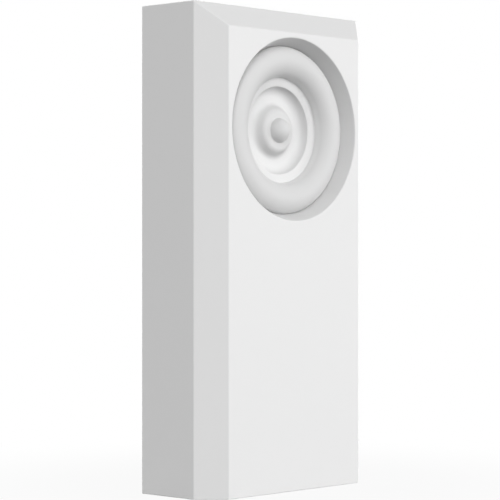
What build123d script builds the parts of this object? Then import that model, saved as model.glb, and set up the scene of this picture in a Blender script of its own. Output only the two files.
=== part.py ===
from build123d import *
import math
import os

# Plinth block for the foot of a door casing, moulded in one piece with a turned bullseye.
# Millimetres. Origin at the middle of the foot, +Z up, the decorated face looks along -Y.

# Block, a stock inch size
inch = 25.4
block_width = 2.5 * inch
block_depth = 1.0 * inch
block_height = 5.0 * inch
bevel = 0.25 * inch
arris_radius = 0.3

# Bullseye, centred in the upper square of the face: radii from its centre, depths from the face
rim_radius = 24.1
bead_foot_radius = 22.25
bead_foot_depth = 4.9
bead_crown_radius = 18.35
bead_crown_depth = 1.9
fillet_outer_radius = 13.95
fillet_outer_depth = 5.65
fillet_inner_radius = 11.6
fillet_inner_depth = 6.2
fillet_nose_radius = 0.35
cove_width = 2.5
cove_floor_depth = 8.55
boss_radius = 4.65
boss_depth = 6.0
boss_shoulder_arc = 1.55
boss_flank_angle = 60
boss_foot_arc = 1.75
button_radius = 3.3
button_crown_depth = 3.15
cutter_overrun = 1.0

front_y = -block_depth / 2
bullseye_z = block_height - block_width / 2


def bevelled_block():
    """Square-footed block with one mitred bevel round the left, top and right of its face."""
    block = Box(block_width, block_depth, block_height, align=(Align.CENTER, Align.CENTER, Align.MIN))
    face_edges = block.faces().sort_by(Axis.Y)[0].edges()
    foot_edge = face_edges.sort_by(Axis.Z)[0]
    return chamfer(face_edges - [foot_edge], bevel)


def boss_flank_length():
    """Length of the straight flank between the boss's two arcs."""
    flank = math.radians(boss_flank_angle)
    arcs_fall = (boss_shoulder_arc + boss_foot_arc) * (1 - math.cos(flank))
    return (cove_floor_depth - boss_depth - arcs_fall) / math.sin(flank)


def bullseye_section():
    """Half section of the recess: radius along X, depth below the face along Y."""
    rim = (rim_radius, 0)
    bead_foot = (bead_foot_radius, bead_foot_depth)
    bead_outer_width = bead_foot_radius - bead_crown_radius
    bead_inner_width = bead_crown_radius - fillet_outer_radius
    fillet_outer = (fillet_outer_radius, fillet_outer_depth)
    fillet_inner = (fillet_inner_radius, fillet_inner_depth)
    cove_foot = (fillet_inner_radius - cove_width, cove_floor_depth)
    button_foot = (button_radius, boss_depth)
    button_crown = (0, button_crown_depth)
    boss_edge = (boss_radius, boss_depth)
    with BuildSketch() as section:
        with BuildLine():
            Polyline(button_crown, (0, -cutter_overrun), (rim_radius, -cutter_overrun), rim, bead_foot)
            EllipticalCenterArc(
                (bead_crown_radius, bead_foot_depth),
                bead_outer_width, bead_foot_depth - bead_crown_depth, 270, arc_size=90)
            EllipticalCenterArc(
                (bead_crown_radius, fillet_outer_depth),
                bead_inner_width, fillet_outer_depth - bead_crown_depth, 180, arc_size=90)
            Line(fillet_outer, fillet_inner)
            TangentArc(cove_foot, fillet_inner, tangent=(1, 0))
            TangentArc(button_crown, button_foot, tangent=(1, 0))
            Line(button_foot, boss_edge)
            shoulder = JernArc(boss_edge, (1, 0), boss_shoulder_arc, boss_flank_angle)
            flank = Line(shoulder @ 1, shoulder @ 1 + shoulder % 1 * boss_flank_length())
            foot = JernArc(flank @ 1, flank % 1, boss_foot_arc, -boss_flank_angle)
            Line(foot @ 1, cove_foot)
        make_face()
        nose = section.vertices().sort_by_distance(fillet_inner)[0]
        fillet(nose, fillet_nose_radius)
    return section.sketch


def bullseye_cutter():
    """The section turned once round the bullseye's axis."""
    centre = (0, front_y, bullseye_z)
    section = Plane(origin=centre, x_dir=(1, 0, 0), z_dir=(0, 0, 1)) * bullseye_section()
    return revolve(section, Axis(centre, (0, 1, 0)))


def plinth_block():
    block = bevelled_block() - bullseye_cutter()
    rings = block.edges().filter_by(GeomType.CIRCLE)
    rim = rings.sort_by(lambda ring: ring.radius)[-1]
    return fillet(rim, arris_radius)


os.makedirs("parts", exist_ok=True)
export_step(plinth_block(), "parts/plinth_block.step")
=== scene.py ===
import math

import bmesh
import bpy
from mathutils import Matrix, Vector


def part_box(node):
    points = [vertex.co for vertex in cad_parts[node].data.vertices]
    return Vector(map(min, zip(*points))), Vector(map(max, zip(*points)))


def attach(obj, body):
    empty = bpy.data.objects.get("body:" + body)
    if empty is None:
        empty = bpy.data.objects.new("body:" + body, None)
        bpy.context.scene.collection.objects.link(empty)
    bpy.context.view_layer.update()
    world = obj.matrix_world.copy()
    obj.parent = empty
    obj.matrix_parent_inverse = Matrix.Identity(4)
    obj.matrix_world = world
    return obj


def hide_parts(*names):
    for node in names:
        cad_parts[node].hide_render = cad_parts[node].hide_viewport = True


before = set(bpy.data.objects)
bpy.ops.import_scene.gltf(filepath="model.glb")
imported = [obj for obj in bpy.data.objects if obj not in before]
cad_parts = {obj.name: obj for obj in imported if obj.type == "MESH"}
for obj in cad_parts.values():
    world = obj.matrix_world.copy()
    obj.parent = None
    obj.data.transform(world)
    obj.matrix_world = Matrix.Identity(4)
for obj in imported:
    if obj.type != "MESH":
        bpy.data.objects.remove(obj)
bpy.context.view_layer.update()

# Plinth block for the foot of a door casing: a bevelled block with a turned bullseye in its face,
# moulded in one piece and finished in smooth white. Metres, in the frame of the CAD model.

low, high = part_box("plinth_block")

# Block
block_width = high.x - low.x
face_y = low.y
bevel = block_width / 10
eased_edge = 0.0002

# Bullseye: radii from its centre, depths from the face
bullseye_centre = Vector((0, face_y, high.z - block_width / 2))
face_margin = 0.0245
rim_radius = 0.0241
rim_easing = 0.00022
bead_foot_radius = 0.02225
bead_foot_depth = 0.0049
bead_crown_radius = 0.01835
bead_crown_depth = 0.0019
fillet_outer_radius = 0.01395
fillet_outer_depth = 0.00565
fillet_inner_radius = 0.0116
fillet_inner_depth = 0.0062
fillet_nose_easing = 0.00025
crease_easing = 0.00008
cove_width = 0.0025
cove_floor_depth = 0.00855
boss_radius = 0.00465
boss_depth = 0.006
boss_shoulder_arc = 0.00155
boss_foot_arc = 0.00175
boss_flank = math.radians(60)
button_radius = 0.0033
button_crown_depth = 0.00315

# Fineness of the mesh
turning_steps = 192
easing_steps = 3
wall_steps = 6
bead_steps = 24
fillet_steps = 3
cove_steps = 20
floor_steps = 2
dome_steps = 18
ledge_steps = 2
shoulder_steps = 10
flank_steps = 4
foot_steps = 8
quarter = math.pi / 2
merge_distance = 1e-6

# Coat: greys from 0 to 1. Painted shade: deep corners and the raised rings of the bullseye are painted
# greyer than the open face, standing in for the shade in the recess.
coat_darkest = 0.835
coat_lightest = 0.855
# Painted shade on the bead, boss and button, and a share of it on the cove and fillet
painted_recess_shade_grey = 0.715
painted_shade_fade = 0.0006
cove_painted_shade_share = 0.25
boss_painted_shade_radius = 0.008
# Painted shade in corners and hollows, darker where ambient occlusion finds them
painted_hollow_shade_grey = 0.6
painted_hollow_shade_reach = 0.01
painted_hollow_shade_samples = 16
roughness = 0.55
refraction = 1.46
sheen_level = 0.35
peel_height = 0.0001
peel_strength = 0.08

# Studio: floor and a white background
floor_radius = 4
floor_segments = 96
floor_gap = 0.00005
floor_grey = 0.25
floor_fade = 0.14
contact_whiteness = 0.94

# Lamps: bearing in degrees from straight in front towards the right, elevation, strength
lamp_breadth = math.radians(12)
lamps = {
    "front_left": (-24.7, 17.9, 0.102),
    "front_high": (-14.9, 28.0, 0.183),
    "front_right": (24.7, 17.9, 0.146),
    "front_right_low": (28.0, 4.6, 0.245),
    "left_low": (-52.0, 4.6, 0.12),
    "left_high": (-47.9, 27.3, 0.111),
    "high_left": (-32.6, 46.2, 0.071),
    "right": (52.0, 4.6, 0.166),
    "far_left": (-111.3, 17.3, 0.265),
    "far_right": (105.0, 12.0, 0.2),
    "back": (165.0, 25.0, 0.5),
}

# Camera
camera_place = (-0.38864, -0.36347, 0.06349)
camera_looking = Vector((0.7267, 0.68695, 0))
camera_lens = 143.03
camera_sensor = 36
camera_clip = (0.01, 20)


def arc(bm, centre, reach, start, sweep, steps):
    """An arc of the turned line: a vertex spun about a centre, then stretched to its reach each way."""
    known = set(bm.verts)
    first = bm.verts.new((math.cos(start), math.sin(start), 0))
    bmesh.ops.spin(bm, geom=[first], cent=(0, 0, 0), axis=(0, 0, 1), angle=sweep, steps=steps)
    made = [vertex for vertex in bm.verts if vertex not in known]
    bmesh.ops.scale(bm, vec=(reach[0], reach[1], 1), verts=made)
    bmesh.ops.translate(bm, vec=(centre[0], centre[1], 0), verts=made)


def straight(bm, start, end, steps=1):
    """A straight run of the turned line."""
    ends = [bm.verts.new((radius, depth, 0)) for radius, depth in (start, end)]
    edge = bm.edges.new(ends)
    bmesh.ops.subdivide_edges(bm, edges=[edge], cuts=steps - 1)


def rising_arc(bm, low_point, high_point, steps):
    """The arc that leaves its first point square to the axis and ends at the second, nearer the face."""
    run = high_point[0] - low_point[0]
    rise = low_point[1] - high_point[1]
    radius = (run * run + rise * rise) / (2 * rise)
    centre = (low_point[0], low_point[1] - radius)
    arc(bm, centre, (radius, radius), quarter, -math.atan2(run, radius - rise), steps)


def ease(bm, point, distance):
    """Rounds the corner of the turned line that lies at a point."""
    corner = min(bm.verts, key=lambda vertex: (vertex.co - Vector((*point, 0))).length)
    bmesh.ops.bevel(
        bm, geom=[corner], offset=distance, segments=easing_steps, profile=0.5,
        affect="VERTICES", material=-1, clamp_overlap=True)


def boss_line(bm):
    """The button's dome, the boss round it and its flank. Gives the foot, on the floor of the cove."""
    button_height = boss_depth - button_crown_depth
    dome_radius = (button_radius ** 2 + button_height ** 2) / (2 * button_height)
    dome_centre = (0, button_crown_depth + dome_radius)
    dome_sweep = math.atan2(button_radius, dome_radius - button_height)
    arc(bm, dome_centre, (dome_radius, dome_radius), -quarter, dome_sweep, dome_steps)
    straight(bm, (button_radius, boss_depth), (boss_radius, boss_depth), ledge_steps)

    shoulder_centre = Vector((boss_radius, boss_depth + boss_shoulder_arc))
    shoulder_reach = (boss_shoulder_arc, boss_shoulder_arc)
    arc(bm, shoulder_centre, shoulder_reach, -quarter, boss_flank, shoulder_steps)
    arcs_fall = (boss_shoulder_arc + boss_foot_arc) * (1 - math.cos(boss_flank))
    flank_length = (cove_floor_depth - boss_depth - arcs_fall) / math.sin(boss_flank)
    outward = Vector((math.sin(boss_flank), -math.cos(boss_flank)))
    down = Vector((math.cos(boss_flank), math.sin(boss_flank)))
    flank_top = shoulder_centre + outward * boss_shoulder_arc
    flank_foot = flank_top + down * flank_length
    straight(bm, flank_top, flank_foot, flank_steps)
    foot_centre = flank_foot + outward * boss_foot_arc
    arc(bm, foot_centre, (boss_foot_arc, boss_foot_arc), quarter, boss_flank, foot_steps)
    return foot_centre.x, cove_floor_depth


def bullseye_line():
    """Half section of the bullseye from the face to its centre: radius along X, depth along Y."""
    bm = bmesh.new()
    margin = (face_margin, 0)
    rim = (rim_radius, 0)
    bead_foot = (bead_foot_radius, bead_foot_depth)
    fillet_outer = (fillet_outer_radius, fillet_outer_depth)
    fillet_inner = (fillet_inner_radius, fillet_inner_depth)
    cove_foot = (fillet_inner_radius - cove_width, cove_floor_depth)
    bead_outer = (bead_foot_radius - bead_crown_radius, bead_foot_depth - bead_crown_depth)
    bead_inner = (bead_crown_radius - fillet_outer_radius, fillet_outer_depth - bead_crown_depth)

    straight(bm, margin, rim)
    straight(bm, rim, bead_foot, wall_steps)
    arc(bm, (bead_crown_radius, bead_foot_depth), bead_outer, 0, -quarter, bead_steps)
    arc(bm, (bead_crown_radius, fillet_outer_depth), bead_inner, -quarter, -quarter, bead_steps)
    straight(bm, fillet_outer, fillet_inner, fillet_steps)
    rising_arc(bm, cove_foot, fillet_inner, cove_steps)
    boss_foot = boss_line(bm)
    straight(bm, cove_foot, boss_foot, floor_steps)
    bmesh.ops.remove_doubles(bm, verts=bm.verts, dist=merge_distance)

    ease(bm, rim, rim_easing)
    ease(bm, fillet_inner, fillet_nose_easing)
    for crease in (bead_foot, fillet_outer, (button_radius, boss_depth)):
        ease(bm, crease, crease_easing)
    return bm


def turn_bullseye(bm):
    """Turns the line once round the bullseye's axis and sets it in the face."""
    bmesh.ops.spin(
        bm, geom=bm.verts[:] + bm.edges[:], cent=(0, 0, 0), axis=(0, 1, 0),
        angle=2 * math.pi, steps=turning_steps, use_merge=True)
    bmesh.ops.remove_doubles(bm, verts=bm.verts, dist=merge_distance)
    bmesh.ops.translate(bm, vec=bullseye_centre, verts=bm.verts)


def add_block(bm):
    """The block with its mitred bevel at the left, top and right of the face, and every edge eased."""
    centre = (low + high) / 2
    size = high - low
    place = Matrix.Translation(centre) @ Matrix.Diagonal((*size, 1))
    bmesh.ops.create_cube(bm, size=1, matrix=place)
    face_edges = [edge for edge in bm.edges if all(v.co.y < centre.y for v in edge.verts)]
    bevelled = [edge for edge in face_edges if any(v.co.z > centre.z for v in edge.verts)]
    sharp = {"profile": 0.5, "affect": "EDGES", "material": -1}
    bmesh.ops.bevel(bm, geom=bevelled, offset=bevel, segments=1, **sharp)
    bmesh.ops.bevel(bm, geom=bm.edges[:], offset=eased_edge, segments=easing_steps, **sharp)


def add_bullseye(bm):
    """Takes the flat face out, sets the turned bullseye in its place and fills the face round it."""
    front = min(bm.faces, key=lambda face: face.calc_center_median().y)
    bmesh.ops.delete(bm, geom=[front], context="FACES_ONLY")

    bullseye = bullseye_line()
    turn_bullseye(bullseye)
    turned = bpy.data.meshes.new("bullseye")
    bullseye.to_mesh(turned)
    bullseye.free()
    bm.from_mesh(turned)
    bpy.data.meshes.remove(turned)

    openings = [edge for edge in bm.edges if edge.is_boundary]
    bmesh.ops.triangle_fill(bm, edges=openings, use_beauty=True, normal=(0, -1, 0))


def plinth_block():
    """The whole block as one closed mesh."""
    bm = bmesh.new()
    add_block(bm)
    add_bullseye(bm)
    bmesh.ops.recalc_face_normals(bm, faces=bm.faces)
    for face in bm.faces:
        face.smooth = True

    piece = add_object("moulded_block", bm)
    shading = piece.modifiers.new("even_shading", "WEIGHTED_NORMAL")
    shading.mode = "FACE_AREA"
    shading.weight = 50
    return piece


def add_object(name, bm):
    """Puts a finished shape into the scene."""
    mesh = bpy.data.meshes.new(name)
    bm.to_mesh(mesh)
    bm.free()
    thing = bpy.data.objects.new(name, mesh)
    bpy.context.scene.collection.objects.link(thing)
    return thing


class Shade:
    """A socket of a material's nodes. Arithmetic on it adds Math nodes."""

    def __init__(self, material, socket):
        self.material = material
        self.socket = socket

    def maths(self, operation, first, second):
        node = self.material.node("ShaderNodeMath", {"operation": operation}, {0: first, 1: second})
        return node[0]

    def __add__(self, other):
        return self.maths("ADD", self, other)

    def __radd__(self, other):
        return self.maths("ADD", other, self)

    def __sub__(self, other):
        return self.maths("SUBTRACT", self, other)

    def __rsub__(self, other):
        return self.maths("SUBTRACT", other, self)

    def __mul__(self, other):
        return self.maths("MULTIPLY", self, other)

    def __rmul__(self, other):
        return self.maths("MULTIPLY", other, self)


class Made:
    """A node just made; an index or a name gives one of its outputs as a Shade."""

    def __init__(self, material, node):
        self.material = material
        self.node = node

    def __getitem__(self, output):
        return Shade(self.material, self.node.outputs[output])


class Nodes:
    """The nodes of one material or world."""

    def __init__(self, owner):
        owner.use_nodes = True
        self.tree = owner.node_tree
        self.tree.nodes.clear()

    def node(self, kind, settings=None, inputs=None):
        """Makes a node of a kind, sets its settings, then its sockets to values or links."""
        node = self.tree.nodes.new(kind)
        for name, value in (settings or {}).items():
            setattr(node, name, value)
        for name, value in (inputs or {}).items():
            if isinstance(value, Shade):
                self.tree.links.new(value.socket, node.inputs[name])
            else:
                node.inputs[name].default_value = value
        return Made(self, node)


def grey(value):
    """An even grey as a colour."""
    return (value, value, value, 1)


def vector_maths(nodes, operation, inputs):
    """One step of vector arithmetic."""
    return nodes.node("ShaderNodeVectorMath", {"operation": operation}, inputs)


def noise(nodes, place, scale, detail):
    """Cloudy noise round a half, so many waves to the metre."""
    inputs = {"Vector": place, "Scale": scale, "Detail": detail}
    return nodes.node("ShaderNodeTexNoise", None, inputs)[0]


def blend(nodes, factor, first, second):
    """Goes from the first colour to the second as the factor goes from 0 to 1."""
    inputs = {"Factor": factor, "A": first, "B": second}
    return nodes.node("ShaderNodeMix", {"data_type": "RGBA"}, inputs)[2]


def smooth_step(nodes, value, start, end):
    """0 at the start, 1 at the end."""
    inputs = {"Value": value, "From Min": start, "From Max": end}
    return nodes.node("ShaderNodeMapRange", {"interpolation_type": "SMOOTHSTEP"}, inputs)[0]


def painted_shade_on_raised_forms(nodes, place):
    """Painted shade in the recess: 1 on the bead, boss and button, a share of it on the cove and fillet
    between them, else 0.
    """
    offset = vector_maths(nodes, "SUBTRACT", {0: place, 1: bullseye_centre})[0]
    across = vector_maths(nodes, "MULTIPLY", {0: offset, 1: (1, 0, 1)})[0]
    radius = vector_maths(nodes, "LENGTH", {0: across})["Value"]
    depth = nodes.node("ShaderNodeSeparateXYZ", None, {0: offset})["Y"]
    past_fillet = smooth_step(nodes, radius, fillet_outer_radius, fillet_outer_radius + painted_shade_fade)
    short_of_wall = smooth_step(nodes, radius, bead_foot_radius, bead_foot_radius - painted_shade_fade)
    inside_bead = smooth_step(nodes, radius, fillet_outer_radius, fillet_outer_radius - painted_shade_fade)
    boss = smooth_step(nodes, radius, boss_painted_shade_radius, boss_painted_shade_radius - boss_foot_arc)
    near_face = smooth_step(nodes, depth, 2 * cove_floor_depth, cove_floor_depth)
    return (past_fillet * short_of_wall + inside_bead * cove_painted_shade_share + boss) * near_face


def white_trim():
    """Smooth moulded white: a sprayed coat with a faint orange peel, slightly uneven in sheen, with
    painted shade that makes it greyer on the raised forms of the bullseye and deep in its hollows."""
    material = bpy.data.materials.new("white_trim")
    nodes = Nodes(material)
    place = nodes.node("ShaderNodeTexCoord")["Object"]
    peel = noise(nodes, place, 900, 2)
    cloud = noise(nodes, place, 45, 3)
    grain = noise(nodes, place, 2600, 1)

    unevenness = cloud * 0.7 + grain * 0.3
    plain = blend(nodes, unevenness, grey(coat_darkest), grey(coat_lightest))
    # Painted shade on the raised forms of the bullseye, and a share of it on the cove and fillet
    recess_shaded = blend(nodes, painted_shade_on_raised_forms(nodes, place), plain, grey(painted_recess_shade_grey))
    # Painted shade: the coat turns greyer where ambient occlusion finds corners and hollows
    openness = nodes.node(
        "ShaderNodeAmbientOcclusion", {"samples": painted_hollow_shade_samples, "only_local": True},
        {"Distance": painted_hollow_shade_reach})["AO"]
    colour = blend(nodes, 1 - openness, recess_shaded, grey(painted_hollow_shade_grey))

    height = peel + grain * 0.25
    relief = nodes.node(
        "ShaderNodeBump", None,
        {"Strength": peel_strength, "Distance": peel_height, "Height": height})[0]
    surface = nodes.node("ShaderNodeBsdfPrincipled", None, {
        "Base Color": colour,
        "Roughness": roughness + (cloud - 0.5) * 0.12 + (grain - 0.5) * 0.06,
        "Normal": relief,
        "IOR": refraction,
        "Specular IOR Level": sheen_level,
    })[0]
    nodes.node("ShaderNodeOutputMaterial", None, {"Surface": surface})
    return material


def seen_directly(nodes):
    """1 where a ray comes from the camera, or by a reflection or through glass, else 0."""
    path = nodes.node("ShaderNodeLightPath")
    return path["Is Camera Ray"] + path["Is Glossy Ray"] + path["Is Transmission Ray"]


def studio_world():
    """A white background. The light on the block comes from the lamps alone."""
    world = bpy.data.worlds.new("studio")
    bpy.context.scene.world = world
    nodes = Nodes(world)
    inputs = {"Color": grey(1), "Strength": seen_directly(nodes)}
    backdrop = nodes.node("ShaderNodeBackground", None, inputs)[0]
    nodes.node("ShaderNodeOutputWorld", None, {"Surface": backdrop})


def floor_white():
    """White that the eye sees as background, with a little grey floor left in it round the foot."""
    material = bpy.data.materials.new("floor_white")
    nodes = Nodes(material)
    place = nodes.node("ShaderNodeTexCoord")["Object"]
    distance = vector_maths(nodes, "LENGTH", {0: place})["Value"]
    whiteness = nodes.node("ShaderNodeMapRange", {"interpolation_type": "SMOOTHSTEP"}, {
        "Value": distance, "From Min": block_width / 2, "From Max": floor_fade,
        "To Min": contact_whiteness, "To Max": 1})[0]
    shown = whiteness * seen_directly(nodes)
    paper = nodes.node("ShaderNodeBsdfDiffuse", None, {"Color": grey(floor_grey)})[0]
    white = nodes.node("ShaderNodeEmission", None, {"Color": grey(1), "Strength": 1})[0]
    both = nodes.node("ShaderNodeMixShader", None, {0: shown, 1: paper, 2: white})[0]
    nodes.node("ShaderNodeOutputMaterial", None, {"Surface": both})
    return material


def studio_floor():
    """A white floor that melts into the background and keeps a soft shadow at the block's foot."""
    bm = bmesh.new()
    bmesh.ops.create_circle(bm, cap_ends=True, radius=floor_radius, segments=floor_segments)
    floor = add_object("floor", bm)
    floor.location.z = low.z - floor_gap
    floor.data.materials.append(floor_white())


def soft_lamp(name, bearing, elevation, strength):
    """A distant lamp with soft edges. A strength of 1 lights a surface that faces it fully."""
    data = bpy.data.lights.new(name, "SUN")
    data.angle = lamp_breadth
    data.energy = math.pi * strength
    lamp = bpy.data.objects.new(name, data)
    bpy.context.scene.collection.objects.link(lamp)
    bearing, elevation = math.radians(bearing), math.radians(elevation)
    level = math.cos(elevation)
    away = Vector((math.sin(bearing) * level, -math.cos(bearing) * level, math.sin(elevation)))
    lamp.rotation_euler = away.to_track_quat("Z", "Y").to_euler()


def studio_camera():
    """The photograph's view: level, from the front left, at half the block's height."""
    data = bpy.data.cameras.new("camera")
    data.sensor_width = camera_sensor
    data.lens = camera_lens
    data.clip_start, data.clip_end = camera_clip
    camera = bpy.data.objects.new("camera", data)
    bpy.context.scene.collection.objects.link(camera)
    camera.location = camera_place
    camera.rotation_euler = camera_looking.to_track_quat("-Z", "Y").to_euler()
    bpy.context.scene.camera = camera


block = plinth_block()
block.data.materials.append(white_trim())
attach(block, "root")
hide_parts("plinth_block")

studio_floor()
studio_world()
for lamp_name, (lamp_bearing, lamp_elevation, lamp_strength) in lamps.items():
    soft_lamp(lamp_name, lamp_bearing, lamp_elevation, lamp_strength)
studio_camera()
bpy.context.scene.view_settings.view_transform = "Standard"
